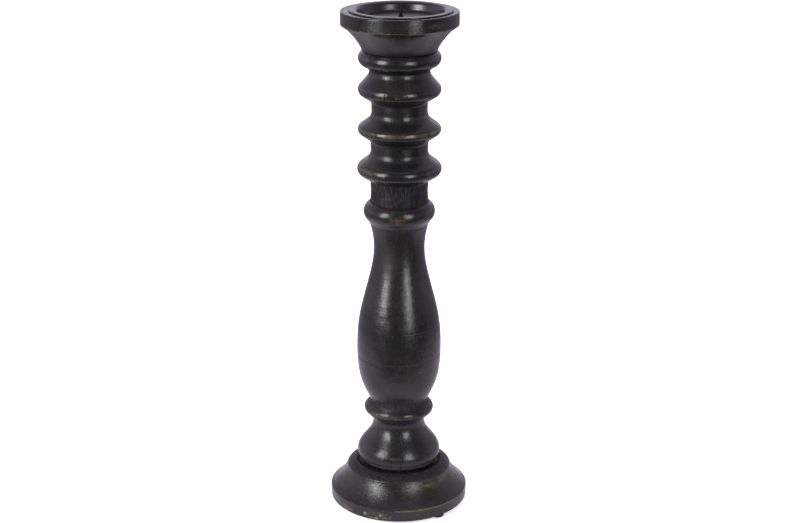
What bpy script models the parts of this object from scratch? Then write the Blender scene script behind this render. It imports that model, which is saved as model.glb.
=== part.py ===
"""Turned wooden candlestick with a lift-out steel drip pan, built as a bench assembly.

Units are metres, +Z is up, and the origin is on the turning axis at table level. Lengths that
describe a turned outline are written in millimetres as (radius, height) pairs and scaled by MM.
Every wooden piece is a lathe outline: straight stretches, rounded corners, arcs and one-span
Bezier curves, swept round the axis with a Screw modifier.
"""

import math

import bmesh
import bpy
from mathutils import Matrix, Vector

MM = 0.001

# Driving dimensions, in millimetres.
RIM_HEIGHT = 500.0          # table to the top of the wooden cup
CUP_RADIUS = 56.2           # vertical band of the cup
BORE_RADIUS = 45.6          # bore of the cup, clear of the pan
PLINTH_RADIUS = 68.8        # widest part of the base
PAD_HEIGHT = 3.0            # foot pads lift the base off the table
PAN_SHIFT = 1.0             # the loose pan sits this far off the turning axis, towards +X
GAP = 0.3                   # air between pieces that touch

# Heights where one wooden piece meets the next.
HEAD_SEAT = 462.4           # top of the upper stem, under the cup head
NECK_SEAT = 312.6           # bottom of the upper stem, in the dished collar below it
BULB_SEAT = 41.6            # bottom of the lower stem's bulb, in the base's dish

# Pan: drawn from sheet steel.
SHEET = 1.0                 # sheet thickness
FLANGE_RADIUS = 49.7
FLANGE_TOP = RIM_HEIGHT + GAP + SHEET
LIP_RADIUS = 4.0            # rounded lip where the flange turns down into the well
WELL_FLOOR = RIM_HEIGHT - 7.1
WELL_FLOOR_RADIUS = 38.5
WELL_MOUTH_RADIUS = 42.0
BOSS_RADIUS = 4.6           # raised centre of the floor that carries the spike
BOSS_RISE = 0.8

# Spike: one turned pin, flanged above the floor and peened over below it.
SPIKE_RADIUS = 1.45
SPIKE_TIP = RIM_HEIGHT + 3.6
TAIL_RADIUS = 1.1
WASHER_RADIUS = 2.8
WASHER_HEIGHT = 1.2

# Hidden joinery.
HEAD_DOWEL = (6.0, 438.0, 480.0)      # radius, bottom, top
STEM_DOWEL = (8.0, 286.0, 342.0)
TENON_RADIUS = 14.0
TENON_BOTTOM = 22.0
SCREW_RADIUS = 2.9
SCREW_TIP = 74.0
SCREW_HEAD_RADIUS = 5.6
SCREW_HEAD_HEIGHT = 3.4
COUNTERBORE_RADIUS = 10.5
COUNTERBORE_TOP = 14.0
WASHER_PLATE = (9.5, 1.5)             # radius, thickness of the steel washer under the screw

# Feet.
PAD_RADIUS = 7.0
PAD_CIRCLE = 60.0
PAD_ANGLES = (40.0, 160.0, 280.0)     # from the front (-Y) towards +X, in degrees

# Facets.
STEPS = 32                  # sides of a large turned piece
FINE_STEPS = 16             # sides of a dowel, pin or pad
ARC_DEGREES = 27.0          # largest turn of one facet along a rounded outline


# ---------------------------------------------------------------- outlines

def arc(centre, radius, start, end):
    """Points on an arc; angles in degrees from +radius direction, positive towards +Z."""
    count = max(2, math.ceil(abs(end - start) / ARC_DEGREES))
    points = []
    for index in range(count + 1):
        angle = math.radians(start + (end - start) * index / count)
        points.append((centre[0] + radius * math.cos(angle), centre[1] + radius * math.sin(angle)))
    return points


def bezier(start, start_handle, end_handle, end, count):
    """Inner points and end point of a cubic Bezier; the start point is left to the caller."""
    corners = [Vector(p) for p in (start, start_handle, end_handle, end)]
    points = []
    for index in range(1, count + 1):
        t = index / count
        weights = ((1 - t) ** 3, 3 * t * (1 - t) ** 2, 3 * t ** 2 * (1 - t), t ** 3)
        point = sum((w * c for w, c in zip(weights, corners)), Vector((0.0, 0.0)))
        points.append((point.x, point.y))
    return points


def rounded(corners):
    """An outline from corners (radius, height) or (radius, height, fillet)."""
    outline = []
    for index, corner in enumerate(corners):
        here = Vector(corner[:2])
        if len(corner) == 2:
            outline.append(tuple(here))
            continue
        to_last = (Vector(corners[index - 1][:2]) - here).normalized()
        to_next = (Vector(corners[index + 1][:2]) - here).normalized()
        half = to_last.angle(to_next) / 2
        centre = here + (to_last + to_next).normalized() * corner[2] / math.sin(half)
        reach = corner[2] / math.tan(half)
        first = here + to_last * reach - centre
        last = here + to_next * reach - centre
        start = math.degrees(math.atan2(first.y, first.x))
        turn = math.degrees(math.atan2(first.x * last.y - first.y * last.x, first.dot(last)))
        outline += arc(centre, corner[2], start, start + turn)
    return outline


# ---------------------------------------------------------------- building blocks

def collection(name):
    """A collection linked to the scene."""
    made = bpy.data.collections.new(name)
    bpy.context.scene.collection.children.link(made)
    return made


def material(name, colour, roughness, metallic=0.0):
    """A Principled material."""
    made = bpy.data.materials.new(name)
    made.use_nodes = True
    made.diffuse_color = (*colour, 1.0)
    shader = made.node_tree.nodes["Principled BSDF"]
    shader.inputs["Base Color"].default_value = (*colour, 1.0)
    shader.inputs["Roughness"].default_value = roughness
    shader.inputs["Metallic"].default_value = metallic
    return made


def add_object(name, mesh, look, group):
    """Link a mesh as a named object of the model."""
    made = bpy.data.objects.new(name, mesh)
    if look:
        mesh.materials.append(look)
    group.objects.link(made)
    return made


def turned(name, outline, look, group, steps=STEPS, closed=False):
    """Sweep an outline round Z. It runs down the outer side, and ends on the axis unless closed."""
    shape = bmesh.new()
    ring = [shape.verts.new((radius * MM, 0.0, height * MM)) for radius, height in outline]
    for first, second in zip(ring, ring[1:]):
        shape.edges.new((first, second))
    if closed:
        shape.edges.new((ring[-1], ring[0]))
    mesh = bpy.data.meshes.new(name)
    shape.to_mesh(mesh)
    shape.free()
    made = add_object(name, mesh, look, group)
    screw = made.modifiers.new("turn", "SCREW")
    screw.axis = "Z"
    screw.steps = steps
    screw.render_steps = steps
    screw.use_merge_vertices = True
    screw.merge_threshold = 0.00001
    shade(made)
    return made


def shade(piece):
    """Replace a piece's modifiers by their result, shaded smooth with sharp edges kept."""
    graph = bpy.context.evaluated_depsgraph_get()
    mesh = bpy.data.meshes.new_from_object(piece.evaluated_get(graph))
    piece.modifiers.clear()
    piece.data = mesh
    mesh.shade_smooth()
    mesh.set_sharp_from_angle(angle=math.radians(35.0))


def plain_round(name, radius, bottom, top, look, group, steps=FINE_STEPS, bevel=0.6):
    """A round bar or disc with eased edges, standing on the turning axis."""
    outline = [
        (0.0, top),
        (radius - bevel, top),
        (radius, top - bevel),
        (radius, bottom + bevel),
        (radius - bevel, bottom),
        (0.0, bottom),
    ]
    return turned(name, outline, look, group, steps)


# ---------------------------------------------------------------- wooden pieces

def ridge(top_neck, low_neck, apex, nose, feet):
    """Corners of one sharp-nosed ridge, top to bottom.

    Each neck is where a flank would meet the stem, and apex is where the two flanks would meet.
    The nose radius blunts the apex, and the feet are the hollow radii above and below it.
    """
    return [(*top_neck, feet[0]), (*apex, nose), (*low_neck, feet[1])]


def cup_head(look, group):
    """The cup: a coned head with a vertical band, bored from above for the drip pan."""
    dowel_radius, dowel_top = HEAD_DOWEL[0] + GAP, HEAD_DOWEL[2] + 2.0
    seat = HEAD_SEAT + GAP
    cone_top, cone_bottom = (52.2, 484.2), (36.3, seat + 0.5)
    outline = [
        (0.0, WELL_FLOOR - 6.0),
        (8.0, WELL_FLOOR - 6.0),
        (8.0, WELL_FLOOR - SHEET - GAP),
        (BORE_RADIUS, WELL_FLOOR - SHEET - GAP),
        (BORE_RADIUS, RIM_HEIGHT - 0.7),
        (BORE_RADIUS + 0.9, RIM_HEIGHT),
    ]
    outline += rounded([
        outline[-1],
        (CUP_RADIUS, RIM_HEIGHT, 1.0),
        (CUP_RADIUS, 487.0, 0.6),
        cone_top,
    ])[1:]
    outline += bezier(cone_top, (50.7, 484.2), (37.5, 469.6), cone_bottom, 6)
    outline += [
        (35.6, seat),
        (dowel_radius, seat),
        (dowel_radius, dowel_top),
        (0.0, dowel_top),
    ]
    return turned("cup_head", outline, look, group)


def upper_stem(look, group):
    """One turning: a round bead, three sharp ridges and a plain neck, bored at both ends."""
    head_radius, head_floor = HEAD_DOWEL[0] + GAP, HEAD_DOWEL[1] - 2.0
    stem_radius, stem_top = STEM_DOWEL[0] + GAP, STEM_DOWEL[2] + 2.0
    outline = [
        (0.0, head_floor),
        (head_radius, head_floor),
        (head_radius, HEAD_SEAT),
        (35.4, HEAD_SEAT),
    ]
    outline += arc((31.6, 455.5), 8.05, 57.0, -78.0)
    outline += rounded([
        (33.2, 447.6),
        (29.1, 444.0, 0.8),
        *ridge((29.3, 440.0), (27.1, 413.5), (43.2, 424.0), 6.8, (9.0, 4.0)),
        *ridge((26.9, 399.2), (27.8, 375.3), (43.8, 386.5), 5.5, (9.3, 6.5)),
        *ridge((27.8, 361.0), (28.2, 336.1), (46.4, 347.4), 7.2, (9.0, 4.5)),
        (27.6, 326.0, 30.0),
        (28.2, 315.0),
    ])[1:]
    outline += [
        (28.2, NECK_SEAT + 0.4),
        (27.8, NECK_SEAT),
        (stem_radius, NECK_SEAT),
        (stem_radius, stem_top),
        (0.0, stem_top),
    ]
    return turned("upper_stem", outline, look, group)


def lower_stem(look, group):
    """One turning: dished collar, vase, beaded collar, bulb and the tenon that enters the base."""
    dowel_radius, dowel_floor = STEM_DOWEL[0] + GAP, STEM_DOWEL[1] - 2.0
    hole_radius, hole_top = SCREW_RADIUS + GAP, SCREW_TIP + 2.0
    seat = NECK_SEAT - GAP
    waist, belly, groove = (24.95, 268.5), (41.8, 168.0), (29.4, 110.6)
    shoulder, bulge = (26.0, 85.5), (41.6, 53.2)
    under_bulb = 11.6
    outline = [
        (0.0, dowel_floor),
        (dowel_radius, dowel_floor),
        (dowel_radius, seat),
        (28.7, seat),
        (28.7, 315.0),
        (29.0, 315.4),
    ]
    outline += arc((23.8, 305.2), 10.95, 60.0, -44.0)
    outline += bezier(outline[-1], (30.5, 296.2), (29.6, 294.6), (28.5, 293.0), 2)
    outline += bezier((28.5, 293.0), (28.5, 292.0), (waist[0], 282.3), waist, 4)
    outline += bezier(waist, (waist[0], 238.2), (belly[0], 211.2), belly, 8)
    outline += bezier(belly, (belly[0], 131.0), (36.2, 125.5), groove, 7)
    outline += rounded([
        groove,
        (29.9, 107.0, 4.0),
        (36.45, 99.1, 5.25),
        (26.3, 88.6, 5.0),
        shoulder,
    ])[1:]
    outline += bezier(shoulder, (shoulder[0], 71.8), (bulge[0], 65.3), bulge, 6)
    outline += arc((bulge[0] - under_bulb, bulge[1]), under_bulb, 0.0, -90.0)[1:]
    outline += [
        (TENON_RADIUS, BULB_SEAT),
        (TENON_RADIUS, TENON_BOTTOM + 1.0),
        (TENON_RADIUS - 1.0, TENON_BOTTOM),
        (hole_radius, TENON_BOTTOM),
        (hole_radius, hole_top),
        (0.0, hole_top),
    ]
    return turned("lower_stem", outline, look, group)


def base(look, group):
    """The foot: vertical plinth, hollow flare, shoulder and a dish round the bulb, bored through."""
    band_top, flare_top = (PLINTH_RADIUS, 15.3), (52.0, 37.3)
    outline = rounded([
        (TENON_RADIUS + GAP, BULB_SEAT - GAP),
        (40.0, BULB_SEAT - GAP),
        (43.0, 43.4, 0.8),
        (51.3, 38.3, 2.2),
        flare_top,
    ])
    outline += bezier(flare_top, (55.0, 26.0), (PLINTH_RADIUS - 0.8, 15.6), band_top, 7)
    outline += [
        (PLINTH_RADIUS - 0.4, PAD_HEIGHT + 1.2),
        (PLINTH_RADIUS - 1.6, PAD_HEIGHT),
        (COUNTERBORE_RADIUS, PAD_HEIGHT),
        (COUNTERBORE_RADIUS, COUNTERBORE_TOP),
        (SCREW_RADIUS + GAP, COUNTERBORE_TOP),
        (SCREW_RADIUS + GAP, TENON_BOTTOM - GAP),
        (TENON_RADIUS + GAP, TENON_BOTTOM - GAP),
    ]
    return turned("base", outline, look, group, closed=True)


# ---------------------------------------------------------------- steel pieces

def drip_pan(look, group):
    """A drawn dish with a rolled flange that rests on the cup, and a hole for the spike's tail."""
    hole = TAIL_RADIUS + GAP
    outside = WELL_MOUTH_RADIUS + SHEET
    outline = rounded([
        (hole, WELL_FLOOR + BOSS_RISE),
        (BOSS_RADIUS, WELL_FLOOR + BOSS_RISE),
        (BOSS_RADIUS + 1.2, WELL_FLOOR),
        (WELL_FLOOR_RADIUS, WELL_FLOOR),
        (WELL_FLOOR_RADIUS + 1.8, WELL_FLOOR + 1.6),
        (WELL_MOUTH_RADIUS, FLANGE_TOP, LIP_RADIUS),
        (FLANGE_RADIUS, FLANGE_TOP, 0.5),
        (FLANGE_RADIUS, FLANGE_TOP - SHEET, 0.4),
        (outside, FLANGE_TOP - SHEET, LIP_RADIUS - SHEET),
        (outside - 1.3, WELL_FLOOR + 0.6),
        (WELL_FLOOR_RADIUS, WELL_FLOOR - SHEET),
        (BOSS_RADIUS + 0.6, WELL_FLOOR - SHEET),
        (BOSS_RADIUS - 0.6, WELL_FLOOR + BOSS_RISE - SHEET),
        (hole, WELL_FLOOR + BOSS_RISE - SHEET),
    ])
    made = turned("drip_pan", outline, look, group, closed=True)
    made.data.transform(Matrix.Translation((PAN_SHIFT * MM, 0.0, 0.0)))
    return made


def candle_spike(look, group):
    """A pointed pin whose thin tail passes through the pan and is peened over below it."""
    washer_bottom = WELL_FLOOR + BOSS_RISE + GAP
    shoulder = washer_bottom + WASHER_HEIGHT + GAP
    peen_top = WELL_FLOOR + BOSS_RISE - SHEET - GAP
    outline = [
        (0.0, SPIKE_TIP),
        (0.25, SPIKE_TIP - 0.3),
        (SPIKE_RADIUS, SPIKE_TIP - 4.6),
        (SPIKE_RADIUS, shoulder),
        (TAIL_RADIUS, shoulder),
        (TAIL_RADIUS, peen_top),
        (TAIL_RADIUS + 1.4, peen_top),
        (TAIL_RADIUS + 1.0, peen_top - 0.9),
        (0.0, peen_top - 1.2),
    ]
    made = turned("candle_spike", outline, look, group, FINE_STEPS)
    made.data.transform(Matrix.Translation((PAN_SHIFT * MM, 0.0, 0.0)))
    return made


def spike_washer(look, group):
    """The small ring that spreads the spike's foot on the pan's boss."""
    bottom = WELL_FLOOR + BOSS_RISE + GAP
    hole = TAIL_RADIUS + GAP
    outline = [
        (hole, bottom + WASHER_HEIGHT),
        (WASHER_RADIUS - 0.7, bottom + WASHER_HEIGHT),
        (WASHER_RADIUS, bottom + WASHER_HEIGHT - 0.6),
        (WASHER_RADIUS, bottom),
        (hole, bottom),
    ]
    made = turned("spike_washer", outline, look, group, FINE_STEPS, closed=True)
    made.data.transform(Matrix.Translation((PAN_SHIFT * MM, 0.0, 0.0)))
    return made


def base_screw(look, group, cutters):
    """A pan-head wood screw, driven up through the base into the tenon, with a cross recess."""
    head_top = COUNTERBORE_TOP - WASHER_PLATE[1] - 2 * GAP
    head_bottom = head_top - SCREW_HEAD_HEIGHT
    outline = [
        (0.0, SCREW_TIP),
        (SCREW_RADIUS, SCREW_TIP - 8.0),
        (SCREW_RADIUS, head_top),
        (SCREW_HEAD_RADIUS, head_top),
        (SCREW_HEAD_RADIUS, head_top - 1.4),
        (SCREW_HEAD_RADIUS - 1.6, head_bottom),
        (0.0, head_bottom),
    ]
    made = turned("base_screw", outline, look, group, FINE_STEPS)
    for index, size in enumerate(((6.4, 1.2), (1.2, 6.4))):
        bpy.ops.mesh.primitive_cube_add(size=MM, location=(0.0, 0.0, head_bottom * MM))
        cutter = bpy.context.object
        cutter.name = "cross_recess_%d" % (index + 1)
        cutter.scale = (size[0], size[1], 3.6)
        cutter.display_type = "WIRE"
        cutter.hide_render = True
        for owner in list(cutter.users_collection):
            owner.objects.unlink(cutter)
        cutters.objects.link(cutter)
        cut = made.modifiers.new("recess", "BOOLEAN")
        cut.object = cutter
        cut.operation = "DIFFERENCE"
        cut.solver = "EXACT"
    return made


def base_washer(look, group):
    """The flat steel washer that spreads the screw's pull over the counterbore."""
    radius, thickness = WASHER_PLATE
    top = COUNTERBORE_TOP - GAP
    hole = SCREW_RADIUS + GAP
    outline = [(hole, top), (radius, top), (radius, top - thickness), (hole, top - thickness)]
    return turned("base_washer", outline, look, group, FINE_STEPS, closed=True)


# ---------------------------------------------------------------- feet

def foot_pads(look, group):
    """Three round pads under the plinth, as separate objects on one circle."""
    for index, degrees in enumerate(PAD_ANGLES):
        angle = math.radians(degrees)
        place = Vector((math.sin(angle), -math.cos(angle), 0.0)) * PAD_CIRCLE * MM
        pad = plain_round("foot_pad_%d" % (index + 1), PAD_RADIUS, 0.0, PAD_HEIGHT - GAP, look, group)
        pad.location = place


# ---------------------------------------------------------------- assembly

def main():
    """Clear the scene and build every piece."""
    for old in list(bpy.data.objects):
        bpy.data.objects.remove(old, do_unlink=True)
    model = collection("wooden_candlestick")
    cutters = collection("cutters")

    stained_wood = material("stained_wood", (0.028, 0.025, 0.024), 0.36)
    raw_dowel = material("raw_dowel", (0.50, 0.35, 0.20), 0.65)
    black_steel = material("black_steel", (0.055, 0.058, 0.066), 0.22, 0.4)
    zinc_steel = material("zinc_steel", (0.60, 0.60, 0.58), 0.35, 1.0)
    felt = material("brown_felt", (0.055, 0.034, 0.026), 0.95)

    cup_head(stained_wood, model)
    upper_stem(stained_wood, model)
    lower_stem(stained_wood, model)
    base(stained_wood, model)
    plain_round("head_dowel", *HEAD_DOWEL, raw_dowel, model)
    plain_round("stem_dowel", *STEM_DOWEL, raw_dowel, model)
    drip_pan(black_steel, model)
    candle_spike(black_steel, model)
    spike_washer(black_steel, model)
    base_screw(zinc_steel, model, cutters)
    base_washer(zinc_steel, model)
    foot_pads(felt, model)


main()
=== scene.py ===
"""Looks for the turned wooden candlestick: fine lathe surfaces, worn black stain and studio light."""

import math

import bpy
import numpy as np
from mathutils import Matrix, Vector


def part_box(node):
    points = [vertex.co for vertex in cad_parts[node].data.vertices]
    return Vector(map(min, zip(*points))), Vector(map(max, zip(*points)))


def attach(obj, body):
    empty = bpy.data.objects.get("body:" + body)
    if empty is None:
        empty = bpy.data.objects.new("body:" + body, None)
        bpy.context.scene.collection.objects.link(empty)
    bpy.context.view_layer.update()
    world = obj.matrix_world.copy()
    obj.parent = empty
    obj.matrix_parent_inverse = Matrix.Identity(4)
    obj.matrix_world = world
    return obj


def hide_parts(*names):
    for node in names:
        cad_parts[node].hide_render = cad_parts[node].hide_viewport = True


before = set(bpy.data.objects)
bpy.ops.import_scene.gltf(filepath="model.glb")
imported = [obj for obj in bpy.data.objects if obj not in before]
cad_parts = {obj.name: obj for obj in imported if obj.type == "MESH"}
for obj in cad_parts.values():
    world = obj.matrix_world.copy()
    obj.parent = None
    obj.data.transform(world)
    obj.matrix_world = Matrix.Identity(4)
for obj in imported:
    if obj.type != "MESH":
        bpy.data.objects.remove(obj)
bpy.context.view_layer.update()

MM = 0.001
GAP = 0.3                    # air between touching pieces, mm, as in the CAD
HOLE_AIR = 2.0               # air past the end of a dowel or the screw, mm


# ---------------------------------------------------------------- sizes taken from the frame, in mm

def top_of(node):
    """Height of a CAD node's top."""
    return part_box(node)[1].z / MM


def bottom_of(node):
    """Height of a CAD node's underside."""
    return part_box(node)[0].z / MM


def radius_of(node):
    """Radius of a CAD node that stands on the turning axis."""
    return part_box(node)[1].x / MM


def hole_for(dowel):
    """Radius, floor and top of the two blind holes that hold a dowel."""
    return radius_of(dowel) + GAP, bottom_of(dowel) - HOLE_AIR, top_of(dowel) + HOLE_AIR


RIM = top_of("cup_head")
CUP_RADIUS = radius_of("cup_head")
HEAD_SEAT = top_of("upper_stem")            # the cup head sits here
NECK_SEAT = bottom_of("upper_stem")         # the plain neck sits here
PLINTH_RADIUS = radius_of("base")
PAD_HEIGHT = bottom_of("base")              # underside of the base
TENON_BOTTOM = bottom_of("lower_stem")
FLANGE_TOP = top_of("drip_pan")
PAN_LOW, PAN_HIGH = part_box("drip_pan")      # corners, in metres
PAN_SHIFT = (PAN_HIGH.x + PAN_LOW.x) / 2 / MM
FLANGE_RADIUS = (PAN_HIGH.x - PAN_LOW.x) / 2 / MM
SPIKE_TIP = top_of("candle_spike")
SCREW_TIP = top_of("base_screw")
HEAD_HOLE, HEAD_HOLE_FLOOR, HEAD_HOLE_TOP = hole_for("head_dowel")
STEM_HOLE, STEM_HOLE_FLOOR, STEM_HOLE_TOP = hole_for("stem_dowel")

# Hidden sizes that the frame's boxes don't show, in mm, as in the CAD.
BULB_SEAT = 41.6
TENON_RADIUS = 14.0
SCREW_HOLE = 3.2
COUNTERBORE = (10.5, 14.0)                  # radius, height of its top
SHEET = 1.0                                 # thickness of the pan
LIP_RADIUS = 4.0
BORE_RADIUS = 45.6
WELL_FLOOR = RIM - 7.1                      # upper side of the pan's floor
WELL_FLOOR_RADIUS = 38.5
WELL_MOUTH_RADIUS = 42.0
TAIL_PIT = (8.0, 6.0)                       # pit for the spike's tail: radius, depth below WELL_FLOOR
BOSS_RADIUS = 4.6
BOSS_RISE = 0.8
SPIKE_RADIUS = 1.45
TAIL_RADIUS = 1.1
WASHER_RADIUS = 2.8
WASHER_HEIGHT = 1.2

ARC_DEGREES = 5.0            # largest turn of one facet along an outline
SPACING = 0.7                # longest step along a shown outline, mm
SHORTEST = 1e-6              # a step along an outline is never taken as shorter than this, mm
STEPS = 192                  # facets round a large piece
BASE_STEPS = 320
CUP_STEPS = 256
FINE_STEPS = 48              # facets round a small piece
SHARP_EDGE = math.radians(32.0)             # shading breaks where faces meet at more than this

# How sharply an outline turns, per mm, where a nose's wear and a hollow's painted shade and roughness
# start, and how much more makes them full.
NOSE_FROM, NOSE_SPAN = 0.04, 0.26
HOLLOW_FROM, HOLLOW_SPAN = 0.03, 0.30
WEAR_FADE = 0.25             # radians over which a worn stretch of a ring fades out
EASE_POINTS = 5              # points over which waviness and dents fade out at a shown stretch's ends


# ---------------------------------------------------------------- outlines

def arc(centre, radius, start, end):
    """Points on an arc; angles in degrees from the +radius direction, positive towards +Z."""
    count = max(2, math.ceil(abs(end - start) / ARC_DEGREES))
    angles = [math.radians(start + (end - start) * k / count) for k in range(count + 1)]
    return [(centre[0] + radius * math.cos(a), centre[1] + radius * math.sin(a)) for a in angles]


def bezier(start, start_handle, end_handle, end, count=40):
    """Inner points and end point of a cubic Bezier; the start point is left to the caller."""
    corners = [Vector(p) for p in (start, start_handle, end_handle, end)]
    points = []
    for index in range(1, count + 1):
        t = index / count
        weights = ((1 - t) ** 3, 3 * t * (1 - t) ** 2, 3 * t ** 2 * (1 - t), t ** 3)
        point = sum((w * c for w, c in zip(weights, corners)), Vector((0.0, 0.0)))
        points.append((point.x, point.y))
    return points


def rounded(corners):
    """An outline from corners (radius, height) or (radius, height, fillet)."""
    outline = []
    for index, corner in enumerate(corners):
        here = Vector(corner[:2])
        if len(corner) == 2:
            outline.append(tuple(here))
            continue
        to_last = (Vector(corners[index - 1][:2]) - here).normalized()
        to_next = (Vector(corners[index + 1][:2]) - here).normalized()
        half = to_last.angle(to_next) / 2
        centre = here + (to_last + to_next).normalized() * corner[2] / math.sin(half)
        reach = corner[2] / math.tan(half)
        first = here + to_last * reach - centre
        last = here + to_next * reach - centre
        start = math.degrees(math.atan2(first.y, first.x))
        turn = math.degrees(math.atan2(first.x * last.y - first.y * last.x, first.dot(last)))
        outline += arc(centre, corner[2], start, start + turn)
    return outline


def refined(outline):
    """The outline with its long stretches split, so that wear and waviness have points to act on."""
    points = [outline[0]]
    for first, second in zip(outline, outline[1:]):
        count = max(1, math.ceil(math.dist(first, second) / SPACING))
        for k in range(1, count + 1):
            points.append(tuple(a + (b - a) * k / count for a, b in zip(first, second)))
    return points


def ridge(top_neck, low_neck, apex, nose, feet):
    """Corners of one sharp-nosed ridge, top to bottom: hollow, blunted nose, hollow."""
    return [(*top_neck, feet[0]), (*apex, nose), (*low_neck, feet[1])]


# ---------------------------------------------------------------- lathe meshes

def bend(outline):
    """How sharply the outline turns at each point, per mm: positive on a nose, negative in a hollow."""
    points = np.array(outline)
    run = np.diff(points, axis=0)
    length = np.maximum(np.linalg.norm(run, axis=1), SHORTEST)
    way = run / length[:, None]
    cross = way[:-1, 0] * way[1:, 1] - way[:-1, 1] * way[1:, 0]
    dot = (way[:-1] * way[1:]).sum(axis=1)
    turn = np.zeros(len(points))
    turn[1:-1] = -np.arctan2(cross, dot) / (0.5 * (length[:-1] + length[1:]))

    # The turns are averaged over about a millimetre, so that facets don't show as wear.
    place = np.concatenate(([0.0], np.cumsum(length)))
    blur = 1.0
    weight = np.exp(-0.5 * ((place[:, None] - place[None, :]) / blur) ** 2)
    share = np.zeros(len(points))
    share[:-1] += 0.5 * length
    share[1:] += 0.5 * length
    return (weight * share) @ turn / (weight * share).sum(axis=1)


def facing_down(outline):
    """0 where the outline's outer side looks up, 1 where it looks down."""
    run = np.gradient(np.array(outline), axis=0)
    length = np.maximum(np.linalg.norm(run, axis=1), SHORTEST)
    return 0.5 - 0.5 * run[:, 0] / length


def hand_turned(radius, angle, height):
    """Unevenness left by hand sanding, in mm, the same each run; thin parts get less of it."""
    full_turn = 6.283        # radians
    skew = 2.1               # keeps the waves along the piece out of step with those round it
    full_size_radius = 30.0  # mm
    # waves round the piece, waves per mm of height, phase in radians, size in mm
    waves = (
        (2, 0.021, 0.3, 0.05),
        (3, 0.047, 1.9, 0.04),
        (5, 0.110, 4.2, 0.03),
        (1, 0.33, 2.6, 0.010),
    )
    swell = np.zeros(np.broadcast(angle, height).shape)
    for count, pitch, phase, size in waves:
        across = np.cos(count * angle + phase)
        along = np.sin(pitch * full_turn * height + skew * phase)
        swell = swell + size * across * along
    return swell * np.minimum(radius / full_size_radius, 1.0)


def worn(nose, heights, angle, wear):
    """Lower the nose values where wear says that less of the stain is rubbed through."""
    nose = np.repeat(nose[:, None], len(angle), axis=1)
    for low, high, kept, *between in wear:
        level = (heights >= low) & (heights <= high)
        fade = np.ones(len(angle))
        if between:
            start, end = (math.radians(side) for side in between)
            fade = np.clip(np.minimum(angle - start, end - angle) / WEAR_FADE, 0.0, 1.0)
        nose = nose * (1.0 - (1.0 - kept) * level[:, None] * fade[None, :])
    return nose


def dented(radius, angle, height, ease, dents):
    """The radii with dents pressed in, and how chipped each point is, from 0 to 1."""
    chip = np.zeros(radius.shape)
    for dent_angle, dent_height, wide, tall, deep in dents:
        off = (angle[None, :] - math.radians(dent_angle) + math.pi) % (2 * math.pi) - math.pi
        near = np.exp(-((off * radius / wide) ** 2) - ((height - dent_height) / tall) ** 2)
        near = near * ease[:, None]
        radius = radius - deep * near
        chip = np.maximum(chip, near)
    return radius, chip


def ring_faces(count, steps, closed):
    """Four-sided faces between each ring and the next; closed also joins the last to the first."""
    rows = np.arange(count if closed else count - 1)
    here = rows[:, None] * steps + np.arange(steps)[None, :]
    right = rows[:, None] * steps + (np.arange(steps)[None, :] + 1) % steps
    below = here + steps
    below_right = right + steps
    if closed:
        below[-1] -= count * steps
        below_right[-1] -= count * steps
    return np.stack((here, below, below_right, right), axis=-1).reshape(-1, 4).tolist()


def end_faces(count, steps):
    """Triangles from the two points on the axis, which follow the rings, to the end rings."""
    top, bottom = count * steps, count * steps + 1
    last = (count - 1) * steps
    faces = []
    for k in range(steps):
        faces.append((top, k, (k + 1) % steps))
        faces.append((bottom, last + (k + 1) % steps, last + k))
    return faces


def lathe(name, before, shown, after, steps=STEPS, closed=False, uneven=1.0, dents=(), wear=()):
    """Sweep before + shown + after round Z.

    The outline runs down the outer side; unless closed, it starts and ends on the axis. The shown
    stretch gets the attributes that the materials read. uneven scales the hand-turned waviness.
    dents are (angle in degrees, height, width, length, depth). wear is (low, high, share of the
    nose kept), for the whole turn or followed by the angles in degrees that it runs between.
    """
    shown = refined(shown)
    outline = list(before) + shown + list(after)
    visible = np.zeros(len(outline))
    visible[len(before):len(before) + len(shown)] = 1.0
    ease = np.convolve(visible, np.ones(EASE_POINTS) / EASE_POINTS, mode="same") * visible
    turn = bend(outline)
    nose = np.clip((turn - NOSE_FROM) / NOSE_SPAN, 0.0, 1.0) * visible
    hollow = np.clip((-turn - HOLLOW_FROM) / HOLLOW_SPAN, 0.0, 1.0) * visible
    down = facing_down(outline)
    rings = np.array(outline)
    if not closed:
        rings, nose, hollow, down, ease = (every[1:-1] for every in (rings, nose, hollow, down, ease))

    angle = np.arange(steps) * 2 * math.pi / steps
    radius = np.repeat(rings[:, :1], steps, axis=1)
    height = np.repeat(rings[:, 1:], steps, axis=1)
    radius = radius + uneven * ease[:, None] * hand_turned(radius, angle[None, :], height)
    radius, chip = dented(radius, angle, height, ease, dents)
    grid = np.stack((radius * np.cos(angle), radius * np.sin(angle), height), axis=-1) * MM
    points = grid.reshape(-1, 3)
    faces = ring_faces(len(rings), steps, closed)
    if not closed:
        faces += end_faces(len(rings), steps)
        points = np.vstack((points, [[0, 0, outline[0][1] * MM], [0, 0, outline[-1][1] * MM]]))

    mesh = bpy.data.meshes.new(name)
    mesh.from_pydata(points.tolist(), [], faces)
    spread_out(mesh, "hollow", np.repeat(hollow, steps))
    spread_out(mesh, "down", np.repeat(down, steps))
    spread_out(mesh, "nose", worn(nose, rings[:, 1], angle, wear).ravel())
    spread_out(mesh, "chip", chip.ravel())
    mesh.shade_smooth()
    mesh.set_sharp_from_angle(angle=SHARP_EDGE)
    piece = bpy.data.objects.new(name, mesh)
    bpy.context.scene.collection.objects.link(piece)
    return piece


def spread_out(mesh, label, values):
    """Store one number per vertex; vertices past the end of the list get zero."""
    every = np.zeros(len(mesh.vertices), np.float32)
    every[:len(values)] = values
    mesh.attributes.new(label, "FLOAT", "POINT").data.foreach_set("value", every)


def finish_piece(piece, look, node, body="stand"):
    """Give a piece its material and body, and let it stand for its CAD node."""
    piece.data.materials.append(look)
    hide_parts(node)
    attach(piece, body)


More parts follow.
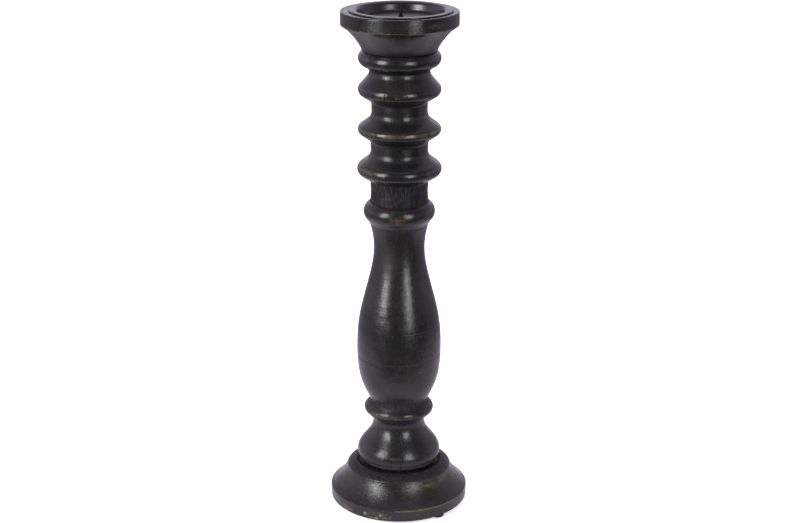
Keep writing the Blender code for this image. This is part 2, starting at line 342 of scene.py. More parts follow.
# ---------------------------------------------------------------- shader helper

class Shader:
    """A short way to write node trees. A value is a number, a colour or another node's output."""

    def __init__(self, owner, output, coordinates):
        """owner is a new material or world; output names the node that its values are set on."""
        owner.use_nodes = True
        self.owner = owner
        self.tree = owner.node_tree
        self.surface = self.tree.nodes[output]
        self.place = self.add("ShaderNodeTexCoord").outputs[coordinates]

    @classmethod
    def paint(cls, name):
        """A new material, placed by the shared frame's metres."""
        return cls(bpy.data.materials.new(name), "Principled BSDF", "Object")

    def set(self, **values):
        """Set the inputs of the output node, and return the finished material or world."""
        for label, value in values.items():
            self.put(self.surface.inputs[label.replace("_", " ")], value)
        return self.owner

    def add(self, kind, **settings):
        node = self.tree.nodes.new(kind)
        for key, value in settings.items():
            setattr(node, key, value)
        return node

    def put(self, socket, value):
        """Link or set one input."""
        if isinstance(value, bpy.types.NodeSocket):
            self.tree.links.new(value, socket)
        elif isinstance(value, tuple) and len(value) == 3 and socket.type == "RGBA":
            socket.default_value = (*value, 1.0)
        else:
            socket.default_value = value

    def math(self, operation, *values):
        node = self.add("ShaderNodeMath", operation=operation)
        for socket, value in zip(node.inputs, values):
            self.put(socket, value)
        return node.outputs[0]

    def times(self, first, second):
        return self.math("MULTIPLY", first, second)

    def plus(self, first, second):
        return self.math("ADD", first, second)

    def minus(self, first, second):
        return self.math("SUBTRACT", first, second)

    def larger(self, first, second):
        return self.math("MAXIMUM", first, second)

    def length(self, x, y):
        """Length of the arrow (x, y)."""
        return self.math("SQRT", self.plus(self.times(x, x), self.times(y, y)))

    def ramp(self, value, low, high, out_low=0.0, out_high=1.0):
        """Smooth step from out_low at low to out_high at high."""
        node = self.add("ShaderNodeMapRange", interpolation_type="SMOOTHSTEP")
        for label, number in (("Value", value), ("From Min", low), ("From Max", high),
                              ("To Min", out_low), ("To Max", out_high)):
            self.put(node.inputs[label], number)
        return node.outputs["Result"]

    def mix(self, share, first, second):
        """Colour mix: first where share is 0, second where it is 1."""
        node = self.add("ShaderNodeMix", data_type="RGBA")
        factor, colour_a, colour_b = (node.inputs[index] for index in (0, 6, 7))
        self.put(factor, share)
        self.put(colour_a, first)
        self.put(colour_b, second)
        return node.outputs[2]

    def attribute(self, label):
        """One of the numbers that lathe stored per vertex."""
        node = self.add("ShaderNodeAttribute")
        node.attribute_name = label
        return node.outputs["Fac"]

    def parts(self):
        """The place's x, y and z."""
        node = self.add("ShaderNodeSeparateXYZ")
        self.put(node.inputs[0], self.place)
        return node.outputs[0], node.outputs[1], node.outputs[2]

    def noise_at(self, place, scale, detail, roughness):
        node = self.add("ShaderNodeTexNoise")
        self.put(node.inputs["Vector"], place)
        node.inputs["Scale"].default_value = scale
        node.inputs["Detail"].default_value = detail
        node.inputs["Roughness"].default_value = roughness
        return node.outputs["Fac"]

    def noise(self, scale, squeeze=(1.0, 1.0, 1.0), detail=3.0, roughness=0.55):
        """Noise of scale cells per metre; a squeeze under 1 draws the cells out along that axis."""
        node = self.add("ShaderNodeVectorMath", operation="MULTIPLY")
        self.put(node.inputs[0], self.place)
        node.inputs[1].default_value = squeeze
        return self.noise_at(node.outputs[0], scale, detail, roughness)

    def turned(self, across, along, detail=3.0, roughness=0.6):
        """Noise drawn out round the turning axis: about across cells per metre down the outline,
        and along cells per radian round it."""
        x, y, z = self.parts()
        radius = self.length(x, y)
        place = self.add("ShaderNodeCombineXYZ")
        self.put(place.inputs[0], self.times(self.math("DIVIDE", x, radius), along))
        self.put(place.inputs[1], self.times(self.math("DIVIDE", y, radius), along))
        self.put(place.inputs[2], self.times(self.minus(z, radius), across))
        return self.noise_at(place.outputs[0], 1.0, detail, roughness)

    def spot(self, x, z, wide, tall):
        """1 inside an oval on the front side, centred at (x, z) in metres, fading to 0 outside."""
        here = self.parts()
        off_x = self.math("DIVIDE", self.minus(here[0], x), wide)
        off_z = self.math("DIVIDE", self.minus(here[2], z), tall)
        away = self.length(off_x, off_z)
        front = self.ramp(here[1], -0.004, 0.0, 1.0, 0.0)
        return self.times(front, self.ramp(away, 0.35, 1.0, 1.0, 0.0))

    def bump(self, height, distance, strength=1.0, under=None):
        """Relief of distance metres where height is 1, on top of the relief under."""
        node = self.add("ShaderNodeBump")
        self.put(node.inputs["Strength"], strength)
        node.inputs["Distance"].default_value = distance
        self.put(node.inputs["Height"], height)
        if under is not None:
            self.put(node.inputs["Normal"], under)
        return node.outputs[0]


# ---------------------------------------------------------------- stained wood

# Colours, in linear RGB. BAND is the unpolished stretch of a piece.
STAIN_COOL = (0.0085, 0.0081, 0.0092)
STAIN_WARM = (0.0150, 0.0135, 0.0120)
STAIN_STREAK = (0.022, 0.0190, 0.0165)
STAIN_MOTTLE = (0.025, 0.0225, 0.0200)
# painted shade: the near-black that hollows are darkened towards
PAINTED_HOLLOW_SHADE = (0.0055, 0.0052, 0.0060)
RUBBED_ABOVE = (0.112, 0.088, 0.046)
RUBBED_BELOW = (0.130, 0.085, 0.040)
CHIPPED_WOOD = (0.24, 0.165, 0.125)
BAND_DARK = (0.0030, 0.0028, 0.0040)
BAND_LIGHT = (0.0170, 0.0155, 0.0170)
BAND_PORES = (0.034, 0.031, 0.033)
# painted reflection of the floor, for the bulb's underside
PAINTED_FLOOR_REFLECTION = (0.074, 0.064, 0.069)
CRACK_DARK = (0.004, 0.0035, 0.0035)
LINE_DARK = (0.0025, 0.0023, 0.0026)

# Depths of the bumps, in metres.
GRAIN_RELIEF = 0.00007
MOTTLE_RELIEF = 0.00005
BRUSHED_RELIEF = 0.00012     # added to the mottle on a fully brushed piece
SWELL_RELIEF = 0.00018


def rubbed_through(s, nose, below, down, pores, blotches):
    """How far the stain is rubbed through on the noses, in patches and vertical ticks."""
    upper_edge = s.ramp(down, 0.14, 0.30, 0.5, 1.0)
    lower_edge = s.ramp(down, 0.50, 0.68, 1.0, 0.7)
    edge = s.times(nose, s.times(upper_edge, lower_edge))
    spread = s.plus(s.times(edge, 1.15), s.times(blotches, 1.15))
    ticks = s.times(s.ramp(pores, 0.46, 0.58), s.ramp(below, 0.0, 1.0, 0.25, 0.50))
    return s.times(s.ramp(spread, 0.98, 1.42), s.plus(ticks, s.ramp(below, 0.0, 1.0, 0.60, 0.10)))


def inside_band(s, low, high, edge):
    """1 between two heights, with edges that soft."""
    z = s.parts()[2]
    return s.times(s.ramp(z, low - edge, low + edge), s.ramp(z, high - edge, high + edge, 1.0, 0.0))


def crack_mask(s, crack_x, low, high, half):
    """1 in a wandering upright crack of that half width on the front side, fading at both ends."""
    end, sway = 0.003, 0.0028
    x, y, z = s.parts()
    wander = s.times(s.minus(s.noise(160.0, (0.0, 0.0, 1.0)), 0.5), sway)
    off = s.math("ABSOLUTE", s.minus(s.minus(x, crack_x), wander))
    mask = s.ramp(off, half * 0.5, half * 1.3, 1.0, 0.0)
    mask = s.times(mask, s.ramp(z, low, low + end))
    mask = s.times(mask, s.ramp(s.times(z, -1.0), -high, end - high))
    return s.times(mask, s.ramp(y, -0.002, 0.0, 1.0, 0.0))


def line_mask(s, height, rise, low_x, high_x, strength):
    """A thin line round the piece, tilted by rise, that fades out at low_x and high_x."""
    end = 0.008
    x, _, z = s.parts()
    off = s.minus(z, s.plus(s.times(x, rise), height))
    mask = s.ramp(s.math("ABSOLUTE", off), 0.00012, 0.00075, 1.0, 0.0)
    ends = s.times(s.ramp(x, low_x, low_x + end), s.ramp(x, high_x - end, high_x, 1.0, 0.0))
    return s.times(s.times(mask, ends), strength)


def stained_wood(name, brushed=0.08, matte_band=None, floor_reflection_below=None,
                 cracks=(), lines=(), smears=(), dull=()):
    """Black stain and wax over turned wood, rubbed through on the noses. Places are in metres.

    brushed is the strength of the marks that run round the piece. matte_band is (low, high, edge),
    a stretch left unpolished with edges that soft; its darker colour is partly painted shade where it
    lies in a crease or under the bulb. floor_reflection_below is the height below which undersides get
    a pale band of painted floor reflection, and hollows are darkened with painted shade. cracks are
    (x, low, high, half width), lines are (height, rise per metre of x, lowest x, highest x,
    strength), and smears and dull places are (x, height, half width, half height, strength), all but
    the lines on the front side only.
    """
    s = Shader.paint(name)
    nose, hollow, down, chip = (s.attribute(label) for label in ("nose", "hollow", "down", "chip"))

    patches = s.noise(22.0, detail=4.0)
    streaks = s.noise(420.0, (1.0, 1.0, 0.05), detail=4.0, roughness=0.65)
    pores = s.noise(760.0, (1.0, 1.0, 0.25), detail=2.0)
    rings = s.turned(1500.0, 3.0, roughness=0.7)
    brush = s.turned(620.0, 9.0, detail=4.0, roughness=0.7)
    blotches = s.noise(75.0, (1.0, 1.0, 0.5), detail=5.0, roughness=0.62)
    mottle = s.noise(520.0, (1.0, 1.0, 0.42), roughness=0.6)
    rubs = s.turned(330.0, 5.0, detail=4.0)
    swell = s.noise(95.0, (1.0, 1.0, 0.5), detail=2.0)

    # The stain.
    stain = s.mix(s.ramp(patches, 0.35, 0.70), STAIN_COOL, STAIN_WARM)
    stain = s.mix(s.ramp(streaks, 0.52, 0.75, 0.0, 0.5), stain, STAIN_STREAK)
    stain = s.mix(s.ramp(mottle, 0.55, 0.80, 0.0, 0.6), stain, STAIN_MOTTLE)

    # Olive brown shows on noses, in rubbed and brushed rings, and in smears.
    below = s.ramp(down, 0.50, 0.64)
    rubbed = rubbed_through(s, nose, below, down, pores, blotches)
    faint = s.times(s.ramp(rubs, 0.58, 0.74), s.ramp(blotches, 0.48, 0.66, 0.0, 0.26))
    scuffs = s.times(s.ramp(brush, 0.60, 0.72), brushed * 0.55)
    bare = s.larger(rubbed, s.larger(faint, scuffs))
    torn = s.plus(s.times(s.ramp(brush, 0.42, 0.62), 0.6), s.times(s.ramp(pores, 0.46, 0.58), 0.4))
    for *place, strength in smears:
        bare = s.larger(bare, s.times(s.spot(*place), s.times(torn, strength)))
    colour = s.mix(bare, stain, s.mix(below, RUBBED_ABOVE, RUBBED_BELOW))
    # Painted shade: hollows are darkened towards near-black.
    colour = s.mix(s.ramp(hollow, 0.05, 0.6, 0.0, 0.45), colour, PAINTED_HOLLOW_SHADE)
    colour = s.mix(s.ramp(chip, 0.35, 0.75, 0.0, 0.85), colour, CHIPPED_WOOD)

    # Wax: smoothest on the noses, rougher in hollows, brushed rings and dull places.
    rough = s.ramp(blotches, 0.30, 0.72, 0.19, 0.29)
    rough = s.plus(rough, s.times(s.ramp(mottle, 0.40, 0.72), 0.07))
    rough = s.plus(rough, s.minus(s.times(hollow, 0.12), s.times(nose, 0.05)))
    rough = s.plus(rough, s.times(s.ramp(brush, 0.48, 0.70), 0.05 + 0.10 * brushed))
    for *place, strength in dull:
        rough = s.plus(rough, s.times(s.spot(*place), strength))
    shine = 0.5

    grain = s.plus(s.times(pores, 0.45), s.times(streaks, 0.30))
    grain = s.plus(grain, s.times(rings, 0.12 + 0.25 * brushed))
    grain = s.plus(grain, s.times(brush, 2.0 * brushed))

    # Unpolished band: matte, less shiny and streaky. On the base's dish and the groove above the lower
    # collar its darker colour is partly painted shade.
    if matte_band:
        inside = inside_band(s, *matte_band)
        bared = s.mix(s.ramp(streaks, 0.42, 0.70), BAND_DARK, BAND_LIGHT)
        colour = s.mix(s.times(inside, 0.85), colour, bared)
        colour = s.mix(s.times(inside, s.ramp(pores, 0.50, 0.66, 0.0, 0.8)), colour, BAND_PORES)
        rough = s.plus(rough, s.times(inside, 0.22))
        grain = s.plus(grain, s.times(inside, s.times(streaks, 2.0)))
        shine = s.minus(shine, s.times(inside, 0.24))
    # Painted reflection: below that height, down-facing surfaces are paled towards lavender grey in place
    # of the floor's reflection.
    if floor_reflection_below:
        reflection_band = s.times(s.ramp(down, 0.55, 0.80), s.ramp(s.parts()[2], floor_reflection_below - 0.008, floor_reflection_below, 0.80, 0.0))
        colour = s.mix(reflection_band, colour, PAINTED_FLOOR_REFLECTION)
    for crack in cracks:
        mask = crack_mask(s, *crack)
        colour = s.mix(mask, colour, CRACK_DARK)
        rough = s.plus(rough, s.times(mask, 0.5))
        grain = s.minus(grain, s.times(mask, 1.5))
        shine = s.minus(shine, s.times(mask, 0.35))
    for line in lines:
        mask = line_mask(s, *line)
        colour = s.mix(mask, colour, LINE_DARK)
        rough = s.plus(rough, s.times(mask, 0.35))
        grain = s.minus(grain, s.times(mask, 1.8))

    polish = s.minus(1.0, s.times(nose, 0.75))
    normal = s.bump(grain, GRAIN_RELIEF, polish)
    normal = s.bump(mottle, MOTTLE_RELIEF + BRUSHED_RELIEF * brushed, polish, normal)
    normal = s.bump(swell, SWELL_RELIEF, 0.5, normal)
    return s.set(Base_Color=colour, Roughness=rough, Normal=normal, IOR=1.43, Specular_IOR_Level=shine)


def cup_wood():
    """Wood of the cup head, smeared along its band."""
    smears = (
        (0.0335, 0.4930, 0.0110, 0.0045, 0.60),
        (0.0250, 0.4868, 0.0300, 0.0012, 0.90),
        (-0.0260, 0.4729, 0.0012, 0.0010, 1.00),
    )
    return stained_wood("stained_wood_cup", smears=smears)


def upper_stem_wood():
    """Wood of the ridged stem, with the unpolished neck and cracks in a ridge and the bead."""
    cracks = (
        (-0.0140, 0.4165, 0.4320, 0.00036),
        (-0.0237, 0.4490, 0.4640, 0.00026),
    )
    smears = (
        (-0.002, 0.4243, 0.0035, 0.0012, 1.0),
        (-0.0165, 0.4500, 0.0080, 0.0015, 0.6),
        (-0.030, 0.3500, 0.0150, 0.0032, 0.8),
        (-0.0170, 0.3420, 0.0080, 0.0014, 0.6),
        (0.0200, 0.3420, 0.0060, 0.0014, 0.6),
    )
    neck = (0.3115, 0.3375, 0.0010)
    return stained_wood("stained_wood_upper", matte_band=neck, cracks=cracks, smears=smears)


def lower_stem_wood():
    """Wood of the vase and bulb, with turned and scribed lines, dull places, a matte groove whose darker
    colour is partly painted shade, and a pale band of painted floor reflection on the bulb's underside.
    """
    lines = (
        (0.1582, 0.026, -0.060, 0.060, 0.75),
        (0.1558, 0.010, -0.060, -0.010, 0.55),
        (0.1905, -0.020, 0.004, 0.060, 0.60),
        (0.1940, -0.015, 0.022, 0.060, 0.45),
        (0.1872, 0.000, 0.010, 0.060, 0.35),
    )
    smears = (
        (-0.0025, 0.3040, 0.0105, 0.0042, 0.85),
        (0.0290, 0.3046, 0.0070, 0.0030, 0.5),
        (-0.0050, 0.0580, 0.0090, 0.0020, 0.7),
        (-0.0112, 0.1985, 0.0035, 0.0100, 0.35),
        (0.0212, 0.1496, 0.0022, 0.0012, 0.9),
    )
    dull = (
        (-0.0100, 0.2620, 0.0140, 0.0240, 0.14),
        (0.0105, 0.2040, 0.0120, 0.0180, 0.03),
    )
    # matte groove above the lower collar; its darker colour is partly painted shade in the crease
    groove = (0.1060, 0.1108, 0.0010)
    cracks = ((0.0022, 0.0420, 0.0740, 0.00035),)
    # The bulb's underside gets a pale band of painted floor reflection below 55 mm.
    return stained_wood("stained_wood_lower", brushed=0.30, matte_band=groove, floor_reflection_below=0.0550,
                        cracks=cracks, lines=lines, smears=smears, dull=dull)


def base_wood():
    """Wood of the base, brushed all round and matte in the dish, where its darker colour is partly painted
    shade under the bulb.
    """
    smears = (
        (0.0330, 0.0335, 0.0230, 0.0060, 0.75),
        (-0.0200, 0.0080, 0.0170, 0.0060, 0.90),
        (-0.0520, 0.0070, 0.0090, 0.0050, 0.80),
    )
    # matte dish round the bulb; its darker colour is partly painted shade under the bulb
    dish = (0.0385, 0.0500, 0.0035)
    return stained_wood("stained_wood_base", brushed=1.0, matte_band=dish, smears=smears)


# ---------------------------------------------------------------- other materials

def enamel():
    """Gloss black enamel on drawn steel, with faint dust and wiping marks."""
    s = Shader.paint("black_enamel")
    dust = s.noise(260.0, detail=5.0, roughness=0.7)
    colour = s.mix(s.ramp(dust, 0.55, 0.80, 0.0, 0.4), (0.0065, 0.0066, 0.0078), (0.020, 0.021, 0.026))
    rough = s.ramp(s.noise(34.0), 0.3, 0.75, 0.27, 0.35)
    normal = s.bump(s.noise(900.0, detail=2.0), 0.00003, 0.4)
    return s.set(Base_Color=colour, Roughness=rough, Normal=normal, IOR=1.55)


def blackened_pin():
    """Dull black of the spike and its ring."""
    s = Shader.paint("blackened_pin")
    soot = s.noise(900.0)
    colour = s.mix(s.ramp(soot, 0.4, 0.7), (0.003, 0.003, 0.004), (0.008, 0.0075, 0.0075))
    rough = s.ramp(soot, 0.3, 0.7, 0.42, 0.60)
    return s.set(Base_Color=colour, Roughness=rough, IOR=1.4, Specular_IOR_Level=0.2)


def zinc():
    """Plated steel of the screw and its washer."""
    s = Shader.paint("zinc_plate")
    spots = s.noise(700.0, detail=4.0)
    colour = s.mix(s.ramp(spots, 0.35, 0.7), (0.50, 0.49, 0.46), (0.66, 0.66, 0.63))
    rough = s.ramp(spots, 0.3, 0.7, 0.28, 0.44)
    return s.set(Base_Color=colour, Roughness=rough, Metallic=1.0, Normal=s.bump(spots, 0.00004, 0.5))


def felt():
    """Dark brown felt of the foot pads."""
    s = Shader.paint("brown_felt_pads")
    fibres = s.noise(2600.0, detail=5.0, roughness=0.75)
    colour = s.mix(s.ramp(fibres, 0.35, 0.70), (0.016, 0.010, 0.008), (0.060, 0.038, 0.028))
    return s.set(Base_Color=colour, Roughness=0.95, Normal=s.bump(fibres, 0.0004, 0.8))


def raw_wood():
    """Pale hardwood of the dowels."""
    s = Shader.paint("dowel_wood")
    lines = s.noise(500.0, (1.0, 1.0, 0.05), detail=5.0, roughness=0.65)
    colour = s.mix(s.ramp(lines, 0.35, 0.72), (0.52, 0.36, 0.20), (0.33, 0.20, 0.10))
    return s.set(Base_Color=colour, Roughness=0.62, Normal=s.bump(lines, 0.0001, 0.7))


# ---------------------------------------------------------------- wooden pieces

def cup_head(wood):
    """Coned cup with a vertical band, bored for the pan."""
    seat = HEAD_SEAT + GAP
    cone_top, cone_bottom = (52.2, 484.2), (36.3, seat + 0.5)
    pit_radius, pit_depth = TAIL_PIT
    bed = WELL_FLOOR - SHEET - GAP
    before = [
        (0.0, WELL_FLOOR - pit_depth),
        (pit_radius, WELL_FLOOR - pit_depth),
        (pit_radius, bed),
        (BORE_RADIUS, bed),
    ]
    shown = [(BORE_RADIUS, RIM - 4.0), (BORE_RADIUS, RIM - 0.7), (BORE_RADIUS + 0.9, RIM)]
    shown += rounded([shown[-1], (CUP_RADIUS, RIM, 0.9), (CUP_RADIUS, 487.0, 0.6), cone_top])[1:]
    shown += bezier(cone_top, (50.7, 484.2), (37.5, 469.6), cone_bottom)
    after = [(35.6, seat), (HEAD_HOLE, seat), (HEAD_HOLE, HEAD_HOLE_TOP), (0.0, HEAD_HOLE_TOP)]
    wear = ((RIM - 2.0, RIM + 1.0, 0.25), (484.0, 488.5, 0.70))
    made = lathe("turned_cup_head", before, shown, after, steps=CUP_STEPS, uneven=0.5, wear=wear)
    finish_piece(made, wood, "cup_head")


def upper_stem(wood):
    """Bead, three sharp ridges and the plain neck."""
    before = [(0.0, HEAD_HOLE_FLOOR), (HEAD_HOLE, HEAD_HOLE_FLOOR), (HEAD_HOLE, HEAD_SEAT)]
    shown = [(34.0, HEAD_SEAT), (35.4, HEAD_SEAT)]
    shown += arc((31.6, 455.5), 8.05, 57.0, -78.0)
    shown += rounded([
        (33.2, 447.6),
        (29.1, 444.0, 0.8),
        *ridge((29.3, 440.0), (27.1, 413.5), (43.2, 424.0), 6.8, (9.0, 4.0)),
        *ridge((26.9, 399.2), (27.8, 375.3), (43.8, 386.5), 5.5, (9.3, 6.5)),
        *ridge((27.8, 361.0), (28.2, 336.1), (46.4, 347.4), 7.2, (9.0, 4.5)),
        (27.6, 326.0, 30.0),
        (28.2, 315.0),
    ])[1:]
    shown += [(28.2, NECK_SEAT + 0.4), (27.8, NECK_SEAT)]
    after = [(STEM_HOLE, NECK_SEAT), (STEM_HOLE, STEM_HOLE_TOP), (0.0, STEM_HOLE_TOP)]
    finish_piece(lathe("turned_upper_stem", before, shown, after), wood, "upper_stem")


def lower_stem(wood):
    """Dished collar, vase, beaded collar, bulb and hidden tenon."""
    seat, pilot_top = NECK_SEAT - GAP, SCREW_TIP + HOLE_AIR
    waist, belly, groove = (24.95, 268.5), (41.8, 168.0), (29.4, 110.6)
    shoulder, bulge, under_bulb = (26.0, 85.5), (41.6, 53.2), 11.6
    under_collar = (28.5, 293.0)
    before = [(0.0, STEM_HOLE_FLOOR), (STEM_HOLE, STEM_HOLE_FLOOR), (STEM_HOLE, seat)]
    shown = [(28.0, seat), (28.7, seat), (28.7, 315.0)]
    shown += arc((23.8, 305.2), 10.95, 60.0, -44.0)
    shown += bezier(shown[-1], (30.5, 296.2), (29.6, 294.6), under_collar, 6)
    shown += bezier(under_collar, (28.5, 292.0), (waist[0], 282.3), waist, 24)
    shown += bezier(waist, (waist[0], 238.2), (belly[0], 211.2), belly, 90)
    shown += bezier(belly, (belly[0], 131.0), (36.2, 125.5), groove, 60)
    shown += rounded([groove, (29.9, 107.0, 4.0), (36.45, 99.1, 5.25), (26.3, 88.6, 5.0), shoulder])[1:]
    shown += bezier(shoulder, (shoulder[0], 71.8), (bulge[0], 65.3), bulge)
    shown += arc((bulge[0] - under_bulb, bulge[1]), under_bulb, 0.0, -90.0)[1:]
    after = [
        (TENON_RADIUS, BULB_SEAT),
        (TENON_RADIUS, TENON_BOTTOM + 1.0),
        (TENON_RADIUS - 1.0, TENON_BOTTOM),
        (SCREW_HOLE, TENON_BOTTOM),
        (SCREW_HOLE, pilot_top),
        (0.0, pilot_top),
    ]
    wear = ((313.5, 316.0, 0.05), (93.0, 103.0, 0.75))
    made = lathe("turned_lower_stem", before, shown, after, wear=wear)
    finish_piece(made, wood, "lower_stem")


def base(wood):
    """Plinth, hollow flare, shoulder and the dish round the bulb."""
    band_top, flare_top = (PLINTH_RADIUS, 15.3), (52.0, 37.3)
    dish_floor = BULB_SEAT - GAP
    mortise_radius, mortise_floor = TENON_RADIUS + GAP, TENON_BOTTOM - GAP
    before = [(mortise_radius, dish_floor)]
    shown = [(28.0, dish_floor)]
    shown += rounded([
        (28.0, dish_floor),
        (40.0, dish_floor),
        (43.0, 43.4, 0.8),
        (46.5, 41.5),
        (46.9, 41.0),
        (47.4, 40.9),
        (51.3, 38.3, 2.2),
        flare_top,
    ])[1:]
    shown += bezier(flare_top, (55.0, 26.0), (PLINTH_RADIUS - 0.8, 15.6), band_top)
    shown += [
        (PLINTH_RADIUS - 0.4, PAD_HEIGHT + 1.2),
        (PLINTH_RADIUS - 1.6, PAD_HEIGHT),
        (60.0, PAD_HEIGHT),
    ]
    after = [
        (COUNTERBORE[0], PAD_HEIGHT),
        COUNTERBORE,
        (SCREW_HOLE, COUNTERBORE[1]),
        (SCREW_HOLE, mortise_floor),
        (mortise_radius, mortise_floor),
    ]
    dents = (
        (240.6, 8.5, 2.2, 1.8, 0.7),
        (254.6, 9.2, 2.0, 1.6, 0.5),
        (251.0, 5.6, 2.4, 1.0, 0.5),
        (258.0, 6.6, 1.1, 0.8, 0.4),
        (246.0, 4.8, 1.0, 0.8, 0.4),
        (220.0, 5.0, 1.8, 1.1, 0.6),
        (224.5, 7.6, 0.8, 0.7, 0.4),
        (263.0, 7.5, 0.8, 0.7, 0.3),
    )
    wear = (
        (40.0, 44.0, 0.10),
        (36.0, 39.8, 0.25),
        (14.0, 16.5, 0.10, 175.0, 275.0),
        (14.0, 16.5, 0.20, 318.0, 360.0),
        (2.0, 5.5, 0.35),
    )
    made = lathe("turned_base", before, shown, after, steps=BASE_STEPS, closed=True, dents=dents, wear=wear)
    finish_piece(made, wood, "base")


# ---------------------------------------------------------------- pan and spike

def finish_on_pan(piece, look, node):
    """Move a piece sideways to the loose pan's own axis, and finish it as part of the pan."""
    piece.data.transform(Matrix.Translation((PAN_SHIFT * MM, 0.0, 0.0)))
    finish_piece(piece, look, node, "pan")


def drip_pan(look):
    """Drawn dish with a boss for the spike, a rounded lip and a flange with a softened edge."""
    hole = TAIL_RADIUS + GAP
    outside = WELL_MOUTH_RADIUS + SHEET
    boss_top = WELL_FLOOR + BOSS_RISE
    shown = rounded([
        (hole, boss_top),
        (BOSS_RADIUS, boss_top, 0.5),
        (BOSS_RADIUS + 1.2, WELL_FLOOR, 0.5),
        (WELL_FLOOR_RADIUS + 1.0, WELL_FLOOR, 1.5),
        (WELL_MOUTH_RADIUS, FLANGE_TOP, LIP_RADIUS),
        (FLANGE_RADIUS, FLANGE_TOP, 0.8),
        (FLANGE_RADIUS, FLANGE_TOP - SHEET, 0.15),
        (outside, FLANGE_TOP - SHEET, LIP_RADIUS - SHEET),
        (outside - 1.3, WELL_FLOOR + 0.6),
    ])
    after = [
        (WELL_FLOOR_RADIUS, WELL_FLOOR - SHEET),
        (BOSS_RADIUS + 0.6, WELL_FLOOR - SHEET),
        (BOSS_RADIUS - 0.6, boss_top - SHEET),
        (hole, boss_top - SHEET),
    ]
    finish_on_pan(lathe("enamelled_pan", [], shown, after, closed=True, uneven=0.4), look, "drip_pan")


def candle_spike(look):
    """Pointed pin, shouldered above the pan's boss and peened below it."""
    washer_bottom = WELL_FLOOR + BOSS_RISE + GAP
    shoulder = washer_bottom + WASHER_HEIGHT + GAP
    peen_top = WELL_FLOOR + BOSS_RISE - SHEET - GAP
    shown = rounded([
        (0.02, SPIKE_TIP),
        (0.25, SPIKE_TIP - 0.3),
        (SPIKE_RADIUS, SPIKE_TIP - 4.6, 3.0),
        (SPIKE_RADIUS, shoulder),
    ])
    after = [
        (TAIL_RADIUS, shoulder),
        (TAIL_RADIUS, peen_top),
        (TAIL_RADIUS + 1.4, peen_top),
        (TAIL_RADIUS + 1.0, peen_top - 0.9),
        (0.0, peen_top - 1.2),
    ]
    made = lathe("pointed_spike", [(0.0, SPIKE_TIP)], shown, after, steps=FINE_STEPS, uneven=0.0)
    finish_on_pan(made, look, "candle_spike")


def spike_washer(look):
    """Domed ring at the spike's foot."""
    bottom = WELL_FLOOR + BOSS_RISE + GAP
    hole = TAIL_RADIUS + GAP
    shown = rounded([
        (hole, bottom + WASHER_HEIGHT),
        (WASHER_RADIUS, bottom + WASHER_HEIGHT, 0.7),
        (WASHER_RADIUS, bottom),
    ])
    made = lathe("spike_ring", [], shown, [(hole, bottom)], steps=FINE_STEPS, closed=True, uneven=0.0)
    finish_on_pan(made, look, "spike_washer")


# ---------------------------------------------------------------- pads and hidden pieces

def foot_pads(look):
    """Felt pads with softened edges."""
    for index in (1, 2, 3):
        node = "foot_pad_%d" % index
        low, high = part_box(node)
        middle = (low + high) / 2
        radius, top = (high.x - low.x) / 2 / MM, high.z / MM
        shown = rounded([(0.5, top), (radius, top, 0.6), (radius, 0.0, 0.8), (0.5, 0.0)])
        before, after = [(0.0, top)], [(0.0, 0.0)]
        made = lathe("felt_pad_%d" % index, before, shown, after, steps=FINE_STEPS, uneven=0.0)
        made.data.transform(Matrix.Translation((middle.x, middle.y, 0.0)))
        finish_piece(made, look, node, "stand")


def repaint(look, *names):
    """Give CAD nodes that stay shown a finished material."""
    for name in names:
        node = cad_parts[name]
        node.data.materials.clear()
        node.data.materials.append(look)


# ---------------------------------------------------------------- studio

STUDIO_TINT = (0.89, 0.82, 1.0)
FLOOR_RADIUS = 6.0           # metres


def studio():
    """Pale floor, a room bright behind and dark in front, and two soft boxes."""
    bpy.ops.mesh.primitive_circle_add(vertices=96, radius=FLOOR_RADIUS, fill_type="NGON")
    floor = bpy.context.object
    floor.name = "studio_floor"
    floor.data.materials.append(pale_floor())
    room()
    soft_box("left_box", azimuth=-50.0, distance=1.7, size=(0.60, 1.25), height=0.95, power=34.0)
    soft_box("right_box", azimuth=30.0, distance=1.9, size=(0.58, 1.25), height=0.82, power=21.0)
    bpy.context.scene.view_settings.view_transform = "Standard"


def soft_box(name, azimuth, distance, size, height, power):
    """Upright area lamp facing the axis; azimuth in degrees from the camera's side."""
    lamp = bpy.data.lights.new(name, "AREA")
    lamp.shape = "RECTANGLE"
    lamp.size, lamp.size_y = size
    lamp.energy = power
    box = bpy.data.objects.new(name, lamp)
    bpy.context.scene.collection.objects.link(box)
    turn = math.radians(azimuth)
    box.location = (distance * math.sin(turn), -distance * math.cos(turn), height)
    box.rotation_euler = (math.pi / 2, 0.0, turn)
    box.visible_camera = False


def room():
    """World light: strength by direction, and plain white for the camera."""
    s = Shader(bpy.data.worlds.new("studio"), "Background", "Generated")
    x, y, z = s.parts()
    back = s.ramp(y, -0.30, 0.60, 0.12, 0.70)
    left = s.ramp(x, -1.0, -0.70, 0.75, 0.0)
    right = s.ramp(x, 0.72, 1.0, 0.0, 0.45)
    above = s.ramp(z, 0.70, 1.0, 0.0, 0.55)
    behind = s.times(s.ramp(y, 0.78, 0.96, 0.0, 0.60), s.ramp(z, -0.02, 0.12))
    strength = s.plus(s.plus(back, left), s.plus(right, above))
    strength = s.plus(strength, behind)
    seen = s.add("ShaderNodeLightPath").outputs["Is Camera Ray"]
    strength = s.larger(strength, s.times(seen, 1.3))
    bpy.context.scene.world = s.set(Strength=strength, Color=STUDIO_TINT)


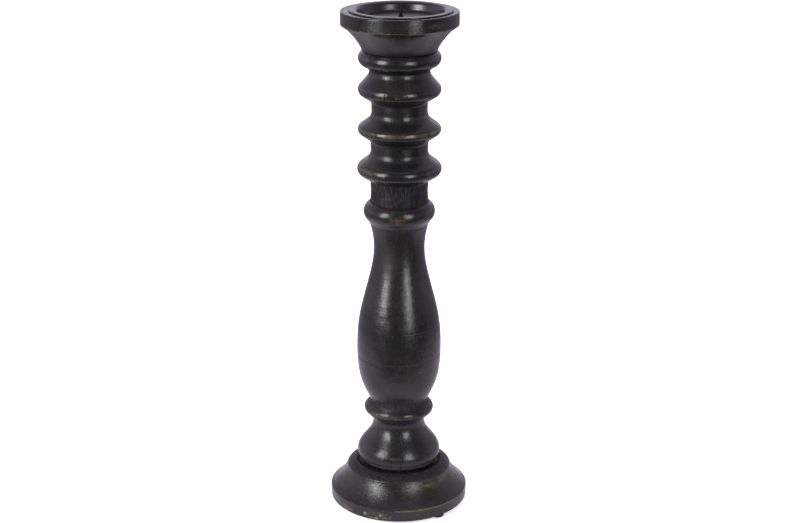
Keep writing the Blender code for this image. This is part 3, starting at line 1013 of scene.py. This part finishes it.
def pale_floor():
    """White floor that glows softly; reflections see it only near the stick, and less in front."""
    s = Shader.paint("pale_floor")
    x, y, _ = s.parts()
    away = s.length(x, y)
    seen = s.add("ShaderNodeLightPath").outputs["Is Camera Ray"]

    # near is what reflections see: less in front, far away, to the sides and close under the plinth.
    near = s.times(s.ramp(y, -0.28, -0.10, 0.05, 1.0), s.ramp(away, 0.30, 0.72, 1.0, 0.36))
    near = s.times(near, s.ramp(s.math("ABSOLUTE", x), 0.05, 0.16, 1.0, 0.62))
    near = s.times(near, s.ramp(away, 0.07, 0.16, 0.78, 1.0))

    seen_glow = s.times(s.ramp(away, 0.06, 0.18, 0.62, 1.05), seen)
    near_glow = s.times(s.ramp(away, 0.06, 0.45, 0.50, 1.05), near)
    colour = s.mix(s.larger(seen, near), (0.0, 0.0, 0.0), (0.90, 0.88, 0.92))
    tint = s.mix(seen, STUDIO_TINT, (0.98, 0.97, 1.0))
    glow = s.larger(seen_glow, near_glow)
    return s.set(Base_Color=colour, Roughness=0.7, Emission_Color=tint, Emission_Strength=glow)


def camera():
    """A long lens a little above the rim, looking down at the whole stick."""
    place = (0.0008, -1.5264, 0.7621)
    down_degrees, roll_degrees = 18.46, 0.157
    lens = bpy.data.cameras.new("camera")
    lens.sensor_width = 36.0
    lens.lens = 73.76
    lens.clip_start = 0.05
    eye = bpy.data.objects.new("camera", lens)
    bpy.context.scene.collection.objects.link(eye)
    tilt = Matrix.Rotation(math.radians(90.0 - down_degrees), 4, "X")
    roll = Matrix.Rotation(math.radians(roll_degrees), 4, "Z")
    eye.matrix_world = Matrix.Translation(place) @ (tilt @ roll)
    bpy.context.scene.camera = eye


# ---------------------------------------------------------------- assembly

def main():
    """Build every shown piece, the studio and the camera."""
    cup_head(cup_wood())
    upper_stem(upper_stem_wood())
    lower_stem(lower_stem_wood())
    base(base_wood())
    drip_pan(enamel())
    pin_black = blackened_pin()
    candle_spike(pin_black)
    spike_washer(pin_black)
    foot_pads(felt())
    repaint(raw_wood(), "head_dowel", "stem_dowel")
    repaint(zinc(), "base_screw", "base_washer")
    studio()
    camera()


main()
